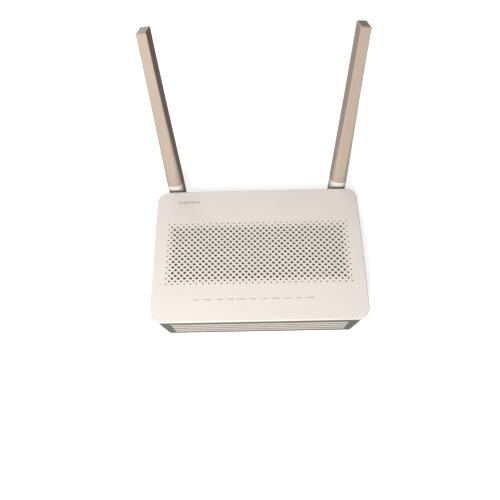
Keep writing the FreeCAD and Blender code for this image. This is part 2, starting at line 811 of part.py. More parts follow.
def power_button():
    """Square cap with a flange behind the wall and a stem into the switch."""
    inner = REAR_Y - WALL
    cap = block(
        POWER_X - POWER_HALF,
        POWER_X + POWER_HALF,
        power_cap_end(),
        REAR_Y + POWER_PROUD,
        POWER_Z - POWER_HALF,
        POWER_Z + POWER_HALF,
    )
    along = [e for e in cap.Edges if e.BoundBox.YLength > 1 or e.BoundBox.YMin > REAR_Y]
    cap = cap.makeFillet(0.5, along)
    flange_half = POWER_HALF + 0.6
    flange = block(
        POWER_X - flange_half,
        POWER_X + flange_half,
        inner - 1.6,
        inner - 0.4,
        POWER_Z - flange_half,
        POWER_Z + flange_half,
    )
    stem_end = power_cap_end() - POWER_STEM_L
    stem = rod(POWER_STEM_R, (POWER_X, stem_end, POWER_Z), (0, 1, 0), POWER_STEM_L + 1)
    return joined(cap, flange, stem)


def side_button(y):
    """Cap through the left wall, a flange behind it, and a stem into its switch."""
    cap = side_pill(y, -SIDE_CAP_X, SIDE_CAP_D - SIDE_CAP_X, SIDE_CAP_HALF_W, SIDE_CAP_HALF_H)
    front_edge = [e for e in cap.Edges if e.BoundBox.XMax < 0.1 - SIDE_CAP_X]
    cap = cap.makeFillet(0.35, front_edge)
    flange_w = SIDE_CAP_HALF_W + SIDE_FLANGE_LAP
    flange_h = SIDE_CAP_HALF_H + SIDE_FLANGE_LAP - 0.2
    flange = side_pill(y, -SIDE_FLANGE_X, 1 - SIDE_FLANGE_X, flange_w, flange_h)
    stem_start = 0.7 - SIDE_FLANGE_X
    stem = rod(STEM_R, (stem_start, y, SIDE_Z), (1, 0, 0), -SIDE_STEM_END_X - stem_start)
    return joined(cap, flange, stem)


def reset_plunger():
    length = RESET_OUTER_X - SIDE_STEM_END_X
    return rod(STEM_R, (-RESET_OUTER_X, RESET_Y, SIDE_Z), (1, 0, 0), length)


# ---- antennas, modelled upright with the hinge pin on X at the origin ----


def turned(shape, side, lean):
    """Leans a shape back, splays it outward and puts it on its hinge pin."""
    shape.rotate(Vector(0, 0, 0), Vector(1, 0, 0), -lean)
    shape.rotate(Vector(0, 0, 0), Vector(0, 1, 0), side * SPLAY)
    shape.translate(Vector(side * PIN_X, PIN_Y, PIN_Z))
    return shape


def blade_section(u, inset):
    """Blade outline at a distance u from the pin: oval at the base, a crisp rectangle at the tip."""
    share = (u - FORK_L) / (BLADE_L - FORK_L)
    half_w = (BLADE_TIP_W + (BLADE_BASE_W - BLADE_TIP_W) * (1 - share) ** BLADE_TAPER) / 2 - inset
    half_d = (BLADE_BASE_D + (BLADE_TIP_D - BLADE_BASE_D) * share) / 2 - inset
    radius = BLADE_TIP_R + (BLADE_BASE_R - BLADE_TIP_R) * (1 - share) ** 3 - inset
    return rounded_wire(-half_w, half_w, -half_d, half_d, max(radius, 0.3), u)


def blade_loft(end, inset):
    """Smooth solid through blade sections, from the fork to end."""
    stops = [FORK_L + (end - FORK_L) * i / (BLADE_STOPS - 1) for i in range(BLADE_STOPS)]
    return Part.makeLoft([blade_section(u, inset) for u in stops], True, False)


def blade_sleeve():
    """Hollow blade, closed at the tip by a flat end with a bevelled rim."""
    bevel = 0.7
    outside = blade_loft(BLADE_L - bevel, 0)
    tip_half_w = BLADE_TIP_W / 2 - bevel
    tip_half_d = BLADE_TIP_D / 2 - bevel
    tip = rounded_wire(-tip_half_w, tip_half_w, -tip_half_d, tip_half_d, 0.3, BLADE_L)
    end = Part.makeLoft([blade_section(BLADE_L - bevel, 0), tip], True, True)
    return joined(outside, end).cut(blade_loft(BLADE_L - 2.2, BLADE_WALL))


def blade_fork():
    """Two ears round the knuckle, a bridge over it and a spigot up into the sleeve."""
    half_w = BLADE_BASE_W / 2
    half_d = BLADE_BASE_D / 2
    oval = rounded_block(-half_w, half_w, -half_d, half_d, BLADE_BASE_R, -half_d, FORK_L)
    side_view = rod(half_d, (-half_w, 0, 0), (1, 0, 0), BLADE_BASE_W)
    side_view = side_view.fuse(block(-half_w, half_w, -half_d, half_d, 0, FORK_L))
    fork = oval.common(side_view)
    inset = BLADE_WALL + 2 * SKIN
    spigot_end = FORK_L + SPIGOT_L
    spigot = Part.makeLoft([blade_section(u, inset) for u in (FORK_L, spigot_end)], True, True)
    in_w, in_d = half_w - inset, half_d - inset
    lower = rounded_block(-in_w, in_w, -in_d, in_d, BLADE_BASE_R - inset - 0.25, FORK_L - 2, FORK_L)
    fork = joined(fork, spigot, lower)
    slot_half = TONGUE_HALF + 0.1
    slot = block(-slot_half, slot_half, -half_d - 1, half_d + 1, -half_d - 1, FORK_SLOT_L)
    return fork.cut([slot, rod(PIN_R, (-half_w - 1, 0, 0), (1, 0, 0), BLADE_BASE_W + 2)])


def radiator_board():
    return block(-0.4, 0.4, -4.5, 4.5, FORK_L + SPIGOT_L + SKIN, BLADE_L - 8)


def hinge_pin():
    half = BLADE_BASE_W / 2 - 0.05
    return rod(PIN_R, (-half, 0, 0), (1, 0, 0), 2 * half)


def knuckle():
    """Neck through the rear wall, a flange outside it and a round-ended tongue for the pin."""
    wall_out = REAR_Y - PIN_Y
    flange_y = wall_out + 0.1
    neck_start = NECK_END_Y - PIN_Y
    neck = rod(NECK_R, (0, neck_start, 0), (0, 1, 0), flange_y + 0.5 - neck_start)
    flange = rod(KNUCKLE_FLANGE_R, (0, flange_y, 0), (0, 1, 0), KNUCKLE_FLANGE_T)
    flange = flange.makeFillet(0.5, [e for e in flange.Edges if e.BoundBox.YMin > flange_y + 1])
    tongue = block(-TONGUE_HALF, TONGUE_HALF, flange_y + 1, 0, -TONGUE_R, TONGUE_R)
    tip = rod(TONGUE_R, (-TONGUE_HALF, 0, 0), (1, 0, 0), 2 * TONGUE_HALF)
    body = joined(neck, flange, tongue, tip)
    groove_start = (0, neck_start + GROOVE_SETBACK, 0)
    groove = rod(NECK_R + 1, groove_start, (0, 1, 0), GROOVE_W)
    groove = groove.cut(rod(GROOVE_R, groove_start, (0, 1, 0), GROOVE_W))
    cable_bore = rod(CABLE_BORE_R, (0, neck_start, 0), (0, 1, 0), -4 - neck_start)
    pin_bore = rod(PIN_R + BORE_GAP, (-8, 0, 0), (1, 0, 0), 16)
    return body.cut([groove, cable_bore, pin_bore])


def barrel_clip():
    """Open spring clip in the neck's groove, inside the case."""
    y = NECK_END_Y - PIN_Y + GROOVE_SETBACK + SKIN
    thickness = GROOVE_W - 2 * SKIN
    ring = rod(CLIP_R, (0, y, 0), (0, 1, 0), thickness)
    ring = ring.cut(rod(GROOVE_R + SKIN, (0, y, 0), (0, 1, 0), thickness))
    return ring.cut(block(-1.6, 1.6, y - 1, y + 2, -6, 0))


def friction_washer():
    """Cone washer between the clip and the rear wall."""
    y = NECK_END_Y - PIN_Y + GROOVE_SETBACK + GROOVE_W + SKIN
    end = REAR_Y - WALL - PIN_Y - SKIN
    cone = Part.makeCone(4.0, 4.3, end - y, Vector(0, y, 0), Vector(0, 1, 0))
    return cone.cut(rod(NECK_R + 0.15, (0, y - 1, 0), (0, 1, 0), end - y + 2))


def feed_cable(side):
    """Coaxial lead from its board connector, over the boss, into the middle of the neck."""
    route = [
        (COAX_X, COAX_Y, BOARD_TOP + COAX_H),
        (COAX_X, COAX_Y, 18.0),
        (64.9, 24.0, 21.0),
        (64.9, 42.0, 21.0),
        (PIN_X, 50.0, PIN_Z),
        (PIN_X, 57.0, PIN_Z),
    ]
    points = [Vector(side * x, y, z) for x, y, z in route]
    path = rounded_path(points)
    circle = Part.Wire(Part.makeCircle(CABLE_R, points[0], Vector(0, 0, 1)))
    return Part.Wire(path).makePipeShell([circle], True, True)


def rounded_path(points):
    """Straight runs joined by tangent arcs."""
    edges = []
    last = points[0]
    for before, corner, after in zip(points, points[1:], points[2:]):
        inward = (corner - before).normalize()
        outward = (after - corner).normalize()
        turn = inward.getAngle(outward)
        shorter = min((corner - before).Length, (after - corner).Length)
        reach = min(0.45 * shorter, 4.0)
        radius = reach / math.tan(turn / 2)
        start = corner - inward * reach
        stop = corner + outward * reach
        to_centre = (outward - inward).normalize()
        sagitta = radius / math.cos(turn / 2) - radius
        edges.append(Part.makeLine(last, start))
        edges.append(Part.Arc(start, corner + to_centre * sagitta, stop).toShape())
        last = stop
    edges.append(Part.makeLine(last, points[-1]))
    return edges


def save_antenna(name, side):
    lean_with_blade = {
        "blade_sleeve": blade_sleeve(),
        "blade_fork": blade_fork(),
        "radiator_board": radiator_board(),
        "hinge_pin": hinge_pin(),
    }
    stay_level = {
        "knuckle": knuckle(),
        "barrel_clip": barrel_clip(),
    }
    for part, shape in lean_with_blade.items():
        save(f"{name}_{part}", turned(shape, side, LEAN))
    for part, shape in stay_level.items():
        save(f"{name}_{part}", turned(shape, side, 0))
    washer = friction_washer()
    washer.translate(Vector(side * PIN_X, PIN_Y, PIN_Z))
    save(f"{name}_friction_washer", washer)
    save(f"{name}_feed_cable", feed_cable(side))


def save_case():
    save("top_cover", top_cover())
    save("base_shell", base_shell())
    save("front_louvre", front_louvre())
    save("left_louvre", left_louvre())
    save("right_louvre", right_louvre())
    save("rubber_feet", *rubber_feet())
    save("case_screws", *case_screws())
    save("rating_label", rating_label())
    save("light_guide", light_guide())


def save_board():
    save("main_board", main_board())
    save("indicator_leds", *indicator_leds())
    save("processor", on_board(PROCESSOR_X, PROCESSOR_Y, PROCESSOR_W, PROCESSOR_W, PROCESSOR_T))
    save("thermal_pad", on_board(PROCESSOR_X, PROCESSOR_Y, PAD_W, PAD_W, PAD_T, PROCESSOR_T))
    save("heat_sink", heat_sink())
    save("memory_chip", on_board(24, 8, 9, 13, 1.1))
    save("flash_chip", on_board(24, -10, 8, 6, 1.0))
    save("line_chip", on_board(PHONE_X, 30, 7, 7, 1.0))
    save("wifi_24_shield", shield_can(-44, -18))
    save("wifi_5_shield", shield_can(46, -18))
    save("lan_transformers", *[on_board(x, 36, 12.5, 9, 6) for x in lan_places()])
    save("power_inductors", *power_inductors())
    save("capacitors", *capacitors())
    save("tact_switches", *[tact_switch(y) for y in (RESET_Y, WPS_Y, WLAN_Y)])
    save("coax_connectors", *coax_connectors())
    save("board_screws", *board_screws())


def save_sockets():
    for i, x in enumerate(lan_places()):
        save(f"lan_jack_{i + 1}", modular_jack(x, LAN_W, LAN_CAVITY_W, 6.2))
    save("lan_contacts", *lan_contacts())
    save("phone_jack", modular_jack(PHONE_X, PHONE_W, PHONE_CAVITY_W, 3.6))
    save("phone_contacts", *jack_contacts(PHONE_X, 4))
    save("usb_port", usb_port())
    save("usb_tongue", usb_tongue())
    save("dc_jack", dc_jack())
    save("dc_pin", dc_pin())
    save("optical_socket", optical_socket())
    save("ferrule_sleeve", ferrule_sleeve())
    save("optical_module", optical_module())
    save("power_switch", power_switch())


def save_buttons():
    save("power_button", power_button())
    save("wlan_button", side_button(WLAN_Y))
    save("wps_button", side_button(WPS_Y))
    save("reset_plunger", reset_plunger())


os.makedirs("parts", exist_ok=True)
save_case()
save_board()
save_sockets()
save_buttons()
save_antenna("left", -1)
save_antenna("right", 1)
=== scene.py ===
import json
import math
import random

import bmesh
import bpy
from mathutils import Matrix, Vector


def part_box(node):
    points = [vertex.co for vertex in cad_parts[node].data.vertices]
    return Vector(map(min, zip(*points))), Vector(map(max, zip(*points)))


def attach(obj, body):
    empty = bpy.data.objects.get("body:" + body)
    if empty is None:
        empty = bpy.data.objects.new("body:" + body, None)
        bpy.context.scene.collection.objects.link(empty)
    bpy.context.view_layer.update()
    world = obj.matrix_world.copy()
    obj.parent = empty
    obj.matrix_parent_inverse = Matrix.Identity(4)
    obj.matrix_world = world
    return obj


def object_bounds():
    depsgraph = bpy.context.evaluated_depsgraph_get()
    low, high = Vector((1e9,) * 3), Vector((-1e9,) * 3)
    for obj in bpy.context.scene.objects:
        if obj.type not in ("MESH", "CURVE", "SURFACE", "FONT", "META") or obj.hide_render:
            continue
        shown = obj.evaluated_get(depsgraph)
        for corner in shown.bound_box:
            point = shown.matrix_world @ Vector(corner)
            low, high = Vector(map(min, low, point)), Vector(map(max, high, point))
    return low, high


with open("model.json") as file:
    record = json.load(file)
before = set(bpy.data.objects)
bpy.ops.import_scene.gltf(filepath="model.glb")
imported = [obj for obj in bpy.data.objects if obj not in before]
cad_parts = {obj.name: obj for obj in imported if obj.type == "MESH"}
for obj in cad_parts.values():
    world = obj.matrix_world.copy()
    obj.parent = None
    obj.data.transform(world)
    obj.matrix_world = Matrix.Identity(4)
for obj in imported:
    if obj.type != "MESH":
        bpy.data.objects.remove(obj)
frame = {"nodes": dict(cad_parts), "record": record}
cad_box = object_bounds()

MM = 0.001
CASE = "case"


# ---------------------------------------------------------------- camera, stage and light

CAMERA_AT = (0.00065, -0.1978, 0.4297)
CAMERA_TURN = (26.512, 1.389, -0.690)  # degrees about X, Y and Z
CAMERA_LENS = 38.88  # mm on the sensor's width
SENSOR_WIDTH = 36.0
KEY_AT = (-0.18, -0.53, 0.54)
KEY_SIZE = 0.42
KEY_WATTS = 7.6
REAR_FILL_AT = (-0.45, 1.3, 0.45)
REAR_FILL_SIZE = 0.9
REAR_FILL_WATTS = 7.0
AMBIENT = 0.12  # strength of the surroundings as a light
BACKDROP = 0.86  # their strength where the camera sees them
FLOOR_GLOW = 0.66  # how much the floor shines where the camera sees it
FLOOR_HALF = 6.0


def add_camera():
    data = bpy.data.cameras.new("camera")
    data.sensor_width = SENSOR_WIDTH
    data.lens = CAMERA_LENS
    data.clip_start = 0.01
    camera = bpy.data.objects.new("camera", data)
    camera.location = CAMERA_AT
    camera.rotation_euler = [math.radians(a) for a in CAMERA_TURN]
    bpy.context.scene.collection.objects.link(camera)
    bpy.context.scene.camera = camera


def add_area(name, location, target, size, watts, colour):
    """Round soft light that faces its target."""
    data = bpy.data.lights.new(name, "AREA")
    data.shape = "DISK"
    data.size = size
    data.energy = watts
    data.color = colour
    lamp = bpy.data.objects.new(name, data)
    lamp.location = location
    aim = Vector(target) - Vector(location)
    lamp.rotation_euler = aim.to_track_quat("-Z", "Y").to_euler()
    bpy.context.scene.collection.objects.link(lamp)


def add_world():
    """Dim surroundings that look pale where the camera sees them."""
    world = bpy.data.worlds.new("studio")
    world.use_nodes = True
    tree = world.node_tree
    background = tree.nodes["Background"]
    background.inputs["Color"].default_value = (1.0, 0.985, 0.97, 1.0)
    seen = tree.nodes.new("ShaderNodeLightPath")
    strength = tree.nodes.new("ShaderNodeMapRange")
    strength.inputs["To Min"].default_value = AMBIENT
    strength.inputs["To Max"].default_value = BACKDROP
    tree.links.new(seen.outputs["Is Camera Ray"], strength.inputs["Value"])
    tree.links.new(strength.outputs["Result"], background.inputs["Strength"])
    bpy.context.scene.world = world


def add_stage():
    bpy.context.scene.view_settings.view_transform = "Standard"
    add_world()
    add_area("key", KEY_AT, (0, 0.02, 0.02), KEY_SIZE, KEY_WATTS, (1.0, 0.975, 0.95))
    add_area("rear_fill", REAR_FILL_AT, (0, 0, 0.03), REAR_FILL_SIZE, REAR_FILL_WATTS, (0.97, 0.98, 1.0))
    bm = bmesh.new()
    bmesh.ops.create_grid(bm, x_segments=8, y_segments=8, size=FLOOR_HALF)
    floor = mesh_object("floor", bm, [floor_material()])
    floor.location.z = cad_box[0][2]


# ---------------------------------------------------------------- materials


class Look:
    """A node material with one Principled shader, driven by noise in the piece's own space."""

    def __init__(self, name):
        self.material = bpy.data.materials.new(name)
        self.material.use_nodes = True
        self.tree = self.material.node_tree
        self.shader = self.tree.nodes["Principled BSDF"]
        self.place = self.add("ShaderNodeTexCoord").outputs["Object"]

    def add(self, kind, **settings):
        node = self.tree.nodes.new(kind)
        for key, value in settings.items():
            setattr(node, key, value)
        return node

    def link(self, source, target):
        self.tree.links.new(source, target)

    def noise(self, size, detail=3.0, roughness=0.5, stretch=(1, 1, 1)):
        """Noise whose features are about size metres across."""
        mapping = self.add("ShaderNodeMapping")
        mapping.inputs["Scale"].default_value = stretch
        self.link(self.place, mapping.inputs["Vector"])
        noise = self.add("ShaderNodeTexNoise")
        noise.inputs["Scale"].default_value = 1.0 / size
        noise.inputs["Detail"].default_value = detail
        noise.inputs["Roughness"].default_value = roughness
        self.link(mapping.outputs["Vector"], noise.inputs["Vector"])
        return noise.outputs["Fac"]

    def spread(self, fac, low, high, start=0.3, stop=0.7):
        """Maps a noise value to the range low to high."""
        ranged = self.add("ShaderNodeMapRange")
        ranged.inputs["From Min"].default_value = start
        ranged.inputs["From Max"].default_value = stop
        ranged.inputs["To Min"].default_value = low
        ranged.inputs["To Max"].default_value = high
        self.link(fac, ranged.inputs["Value"])
        return ranged.outputs["Result"]

    def mix(self, fac, first, second):
        """Colour mix: first and second are colours or sockets."""
        mixer = self.add("ShaderNodeMix", data_type="RGBA")
        self.link(fac, mixer.inputs["Factor"])
        for name, value in (("A", first), ("B", second)):
            socket = [s for s in mixer.inputs if s.name == name and s.type == "RGBA"][0]
            if isinstance(value, tuple):
                socket.default_value = (*value, 1.0)
            else:
                self.link(value, socket)
        return [s for s in mixer.outputs if s.type == "RGBA"][0]

    def colour(self, socket):
        self.link(socket, self.shader.inputs["Base Color"])

    def rough(self, socket):
        self.link(socket, self.shader.inputs["Roughness"])

    def bump(self, *layers):
        """Layers of (height socket, depth in metres, strength)."""
        normal = None
        for height, depth, strength in layers:
            node = self.add("ShaderNodeBump")
            node.inputs["Distance"].default_value = depth
            node.inputs["Strength"].default_value = strength
            self.link(height, node.inputs["Height"])
            if normal is not None:
                self.link(normal, node.inputs["Normal"])
            normal = node.outputs["Normal"]
        self.link(normal, self.shader.inputs["Normal"])

    def fixed(self, **values):
        for name, value in values.items():
            self.shader.inputs[name.replace("_", " ")].default_value = value


# Reach of the ambient-occlusion test that paints shade into holes and recesses.
NOOK_REACH = 3.2 * MM  # how far a nook looks for plastic that faces it


def shade(colour, factor):
    return tuple(min(1.0, c * factor) for c in colour)


def moulded(name, colour, roughness, grain=0.4, depth=0.02, mottle=0.03, specks=0.0, painted_hole_shade=0.0):
    """Moulded plastic: a fine spark-eroded grain, faint mottling and uneven gloss.

    grain and depth are in millimetres; specks is the share of darker dust specks, and the last argument
    is painted shade: how much darker the colour is painted down in small holes and recesses.
    """
    look = Look(name)
    clouds = look.spread(look.noise(0.022, 4.0, 0.55), 0.0, 1.0)
    base = look.mix(clouds, shade(colour, 1 - mottle), shade(colour, 1 + mottle))
    if specks:
        dust = look.spread(look.noise(0.0009, 1.0), 0.0, specks, 0.70, 0.78)
        base = look.mix(dust, base, shade(colour, 0.6))
    # Painted shade: ambient occlusion darkens the colour down in holes and recesses, in place of the
    # shadow there.
    if painted_hole_shade:
        nook = look.add("ShaderNodeAmbientOcclusion", samples=8, only_local=True)
        nook.inputs["Distance"].default_value = NOOK_REACH
        painted_shade_amount = look.spread(nook.outputs["AO"], painted_hole_shade, 0.0, 0.35, 0.85)
        base = look.mix(painted_shade_amount, base, shade(colour, 0.25))
    look.colour(base)
    look.rough(look.spread(look.noise(0.035, 5.0, 0.6), roughness - 0.06, roughness + 0.07))
    look.bump(
        (look.noise(0.012, 2.0), 0.00006, 0.25),
        (look.noise(grain * MM, 2.0, 0.6), depth * MM, 0.55),
    )
    look.fixed(Specular_IOR_Level=0.42)
    return look.material


def glossy_plastic(name, colour, roughness=0.24):
    """Injection-moulded connector plastic: smooth, with faint flow marks."""
    look = Look(name)
    flow = look.spread(look.noise(0.004, 3.0, 0.5, (1, 1, 3)), 0.0, 1.0)
    look.colour(look.mix(flow, shade(colour, 0.93), shade(colour, 1.06)))
    look.rough(look.spread(look.noise(0.002, 4.0), roughness - 0.06, roughness + 0.1))
    look.bump((look.noise(0.0006, 2.0), 0.00001, 0.4))
    look.fixed(Specular_IOR_Level=0.5)
    return look.material


def metal(name, colour, roughness, stretch=(1, 1, 1), grain=0.0005):
    """Bare or plated metal with drawn or rolled streaks."""
    look = Look(name)
    streaks = look.spread(look.noise(grain, 4.0, 0.6, stretch), 0.0, 1.0)
    look.colour(look.mix(streaks, shade(colour, 0.86), shade(colour, 1.08)))
    wear = look.noise(grain * 2, 3.0, 0.6, stretch)
    look.rough(look.spread(wear, roughness - 0.08, roughness + 0.12))
    look.bump((look.noise(grain, 3.0, 0.6, stretch), 0.000012, 0.5))
    look.fixed(Metallic=1.0)
    return look.material


def rubber(name, colour):
    look = Look(name)
    bloom = look.spread(look.noise(0.003, 4.0, 0.6), 0.0, 1.0)
    look.colour(look.mix(bloom, shade(colour, 0.8), shade(colour, 1.5)))
    look.rough(look.spread(look.noise(0.002, 3.0), 0.72, 0.9))
    look.bump((look.noise(0.0003, 2.0), 0.00003, 0.6))
    look.fixed(Specular_IOR_Level=0.3)
    return look.material


def ink_look(name, colour):
    """Pad-printed ink, slightly uneven."""
    look = Look(name)
    patch = look.spread(look.noise(0.0007, 3.0), 0.0, 1.0)
    look.colour(look.mix(patch, shade(colour, 0.88), shade(colour, 1.12)))
    look.rough(look.spread(look.noise(0.001, 2.0), 0.45, 0.6))
    look.bump((look.noise(0.0003, 2.0), 0.00001, 0.4))
    return look.material


def circuit_board(name):
    """Solder resist over copper tracks, with plated vias."""
    look = Look(name)
    weave = look.add("ShaderNodeTexBrick")
    weave.inputs["Scale"].default_value = 160.0
    weave.inputs["Mortar Size"].default_value = 0.012
    weave.inputs["Color1"].default_value = (0.010, 0.115, 0.050, 1)
    weave.inputs["Color2"].default_value = (0.012, 0.135, 0.060, 1)
    weave.inputs["Mortar"].default_value = (0.030, 0.235, 0.105, 1)
    look.link(look.place, weave.inputs["Vector"])
    vias = look.add("ShaderNodeTexVoronoi")
    vias.inputs["Scale"].default_value = 420.0
    look.link(look.place, vias.inputs["Vector"])
    dots = look.spread(vias.outputs["Distance"], 1.0, 0.0, 0.10, 0.13)
    look.colour(look.mix(dots, weave.outputs["Color"], (0.62, 0.50, 0.24)))
    look.rough(look.spread(look.noise(0.006, 3.0), 0.24, 0.42))
    look.bump((weave.outputs["Fac"], 0.00003, 0.5), (look.noise(0.0004, 2.0), 0.00001, 0.4))
    return look.material


def clear_acrylic(name):
    look = Look(name)
    haze = look.spread(look.noise(0.006, 3.0), 0.0, 1.0)
    look.colour(look.mix(haze, (0.86, 0.90, 0.91), (0.95, 0.97, 0.98)))
    look.rough(look.spread(look.noise(0.003, 3.0), 0.05, 0.18))
    look.bump((look.noise(0.001, 2.0), 0.00001, 0.4))
    look.fixed(Transmission_Weight=0.7, IOR=1.49)
    return look.material


def floor_material():
    """White paper that throws little light back on the object and stays bright away from it."""
    look = Look("floor_paper")
    tone = look.spread(look.noise(0.35, 3.0), 0.0, 1.0)
    paper = look.mix(tone, (0.92, 0.92, 0.92), (0.95, 0.95, 0.95))
    seen = look.add("ShaderNodeLightPath").outputs["Is Camera Ray"]
    look.colour(look.mix(seen, (0.34, 0.335, 0.33), paper))
    look.link(look.spread(seen, 0.0, FLOOR_GLOW, 0.0, 1.0), look.shader.inputs["Emission Strength"])
    look.fixed(Emission_Color=(1.0, 1.0, 1.0, 1.0))
    look.rough(look.spread(look.noise(0.02, 3.0), 0.7, 0.85))
    look.bump((look.noise(0.0008, 3.0), 0.00002, 0.3))
    look.fixed(Specular_IOR_Level=0.15)
    return look.material


def material_table():
    """One finished material for each slot of the record."""
    cream = (0.80, 0.755, 0.71)
    return {
        # The cover gets painted shade inside its vent holes (the last argument).
        "cover": moulded(
            "cover", cream, 0.42, grain=0.35, depth=0.012, mottle=0.012, specks=0.12, painted_hole_shade=0.45
        ),
        "louvre": moulded(
            "louvre", (0.72, 0.68, 0.62), 0.46, grain=0.35, depth=0.015, mottle=0.02, specks=0.2
        ),
        "base": moulded("base", (0.165, 0.155, 0.135), 0.48, depth=0.022, mottle=0.05, specks=0.3),
        "knuckle": moulded(
            "knuckle", (0.80, 0.76, 0.71), 0.36, grain=0.3, depth=0.008, mottle=0.015, specks=0.1
        ),
        "antenna": moulded(
            "antenna", (0.485, 0.395, 0.32), 0.36, grain=0.3, depth=0.006, mottle=0.02, specks=0.1
        ),
        "button": moulded(
            "button", (0.70, 0.67, 0.62), 0.4, grain=0.3, depth=0.01, mottle=0.02, specks=0.1
        ),
        "foot_rubber": rubber("foot_rubber", (0.02, 0.02, 0.02)),
        "label": moulded("label", (0.60, 0.60, 0.59), 0.32, grain=0.2, depth=0.002, mottle=0.015),
        "screw_steel": metal("screw_steel", (0.60, 0.60, 0.60), 0.32),
        "hinge_steel": metal("hinge_steel", (0.56, 0.56, 0.57), 0.26, (1, 4, 4)),
        "light_guide": clear_acrylic("light_guide"),
        "led": glossy_plastic("led", (0.80, 0.77, 0.60)),
        "board": circuit_board("board"),
        "chip": moulded("chip", (0.018, 0.018, 0.020), 0.5, grain=0.15, depth=0.006, mottle=0.06),
        "thermal_pad": rubber("thermal_pad", (0.28, 0.33, 0.42)),
        "heat_sink": metal("heat_sink", (0.70, 0.71, 0.72), 0.36, (1, 0.05, 1)),
        "tin": metal("tin", (0.66, 0.66, 0.64), 0.34, (1, 0.2, 1)),
        "transformer": moulded(
            "transformer", (0.025, 0.025, 0.028), 0.45, grain=0.2, depth=0.008, mottle=0.06
        ),
        "capacitor": metal("capacitor", (0.66, 0.67, 0.68), 0.28, (1, 1, 0.1)),
        "switch_black": glossy_plastic("switch_black", (0.02, 0.02, 0.022), 0.34),
        "contact_gold": metal("contact_gold", (0.83, 0.60, 0.22), 0.2, (1, 0.1, 1), 0.0002),
        "pin_metal": metal("pin_metal", (0.70, 0.68, 0.62), 0.22, (1, 0.1, 1)),
        "lan_yellow": glossy_plastic("lan_yellow", (0.72, 0.46, 0.03), 0.28),
        "phone_grey": glossy_plastic("phone_grey", (0.20, 0.205, 0.21), 0.3),
        "usb_insulator": glossy_plastic("usb_insulator", (0.78, 0.78, 0.75), 0.3),
        "optical_green": glossy_plastic("optical_green", (0.02, 0.20, 0.06), 0.26),
        "ceramic": glossy_plastic("ceramic", (0.84, 0.82, 0.76), 0.12),
        "module_metal": metal("module_metal", (0.74, 0.62, 0.36), 0.24, (1, 4, 1)),
        "cable": glossy_plastic("cable", (0.025, 0.025, 0.027), 0.4),
    }


def dress_cad_nodes(materials):
    """Gives every node of the frame the finished material of its slot."""
    for part in frame["record"]["subparts"]:
        node = frame["nodes"][part["node"]]
        node.data.materials.clear()
        node.data.materials.append(materials[part["material_slot"]])


# ---------------------------------------------------------------- mesh helpers


def mesh_object(name, bm, materials, smooth=True):
    mesh = bpy.data.meshes.new(name)
    bm.normal_update()
    bm.to_mesh(mesh)
    bm.free()
    for material in materials:
        mesh.materials.append(material)
    for polygon in mesh.polygons:
        polygon.use_smooth = smooth
    piece = bpy.data.objects.new(name, mesh)
    bpy.context.scene.collection.objects.link(piece)
    return piece


PILL_STEPS = 3  # straight pieces in each quarter of a round end


def prism_mesh(bm, outline, z0, z1, hole=None):
    """Upright prism on a plan outline. hole is a matching inner outline for a ring."""
    rings = [outline] if hole is None else [outline, hole]
    low = [[bm.verts.new((x, y, z0)) for x, y in ring] for ring in rings]
    high = [[bm.verts.new((x, y, z1)) for x, y in ring] for ring in rings]
    count = len(outline)
    for i in range(count):
        j = (i + 1) % count
        bm.faces.new((low[0][i], low[0][j], high[0][j], high[0][i]))
        if hole is not None:
            bm.faces.new((low[1][j], low[1][i], high[1][i], high[1][j]))
            bm.faces.new((high[0][i], high[0][j], high[1][j], high[1][i]))
            bm.faces.new((low[0][j], low[0][i], low[1][i], low[1][j]))
    if hole is None:
        bm.faces.new(high[0])
        bm.faces.new(list(reversed(low[0])))


def pill_outline(x, y, half_w, half_h):
    """Plan outline of a bar with round ends, or a disc where the halves are equal."""
    r = min(half_w, half_h)
    points = []
    for sx, sy, start in ((1, 1, 0), (-1, 1, 90), (-1, -1, 180), (1, -1, 270)):
        for i in range(PILL_STEPS + 1):
            a = math.radians(start + 90 * i / PILL_STEPS)
            points.append(
                (x + sx * (half_w - r) + r * math.cos(a), y + sy * (half_h - r) + r * math.sin(a))
            )
    return points


# ---------------------------------------------------------------- printed marks

INK_T = 0.03 * MM  # thickness of printed ink
ICON = 0.8 * MM  # half height of a pictogram
MARK_STEPS = 20


def disc_outline(x, y, r):
    turns = [2 * math.pi * i / MARK_STEPS for i in range(MARK_STEPS)]
    return [(x + r * math.cos(a), y + r * math.sin(a)) for a in turns]


class Print:
    """Flat ink shapes on a plane, drawn in icon units round a moving centre."""

    def __init__(self):
        self.bm = bmesh.new()
        self.x = self.y = 0.0
        self.unit = ICON

    def at(self, x, y, unit=ICON):
        self.x, self.y, self.unit = x, y, unit
        return self

    def spot(self, x, y):
        return self.x + x * self.unit, self.y + y * self.unit

    def bar(self, x, y, half_w, half_h):
        outline = pill_outline(*self.spot(x, y), half_w * self.unit, half_h * self.unit)
        prism_mesh(self.bm, outline, 0.0, INK_T)

    def disc(self, x, y, r):
        prism_mesh(self.bm, disc_outline(*self.spot(x, y), r * self.unit), 0.0, INK_T)

    def ring(self, x, y, r, width=0.2):
        spot = self.spot(x, y)
        inner = disc_outline(*spot, (r - width) * self.unit)
        prism_mesh(self.bm, disc_outline(*spot, r * self.unit), 0.0, INK_T, inner)

    def finish(self, name, material, matrix, slot):
        piece = mesh_object(name, self.bm, [material], smooth=False)
        piece.matrix_world = matrix
        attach(piece, CASE)


def icon_power(ink):
    ink.ring(0, 0, 0.9)
    ink.bar(0, 0.55, 0.12, 0.45)


def icon_fibre(ink):
    ink.ring(0, 0, 0.9)
    ink.disc(0, 0, 0.35)


def icon_alert(ink):
    ink.bar(0, 0.3, 0.15, 0.6)
    ink.disc(0, -0.75, 0.18)


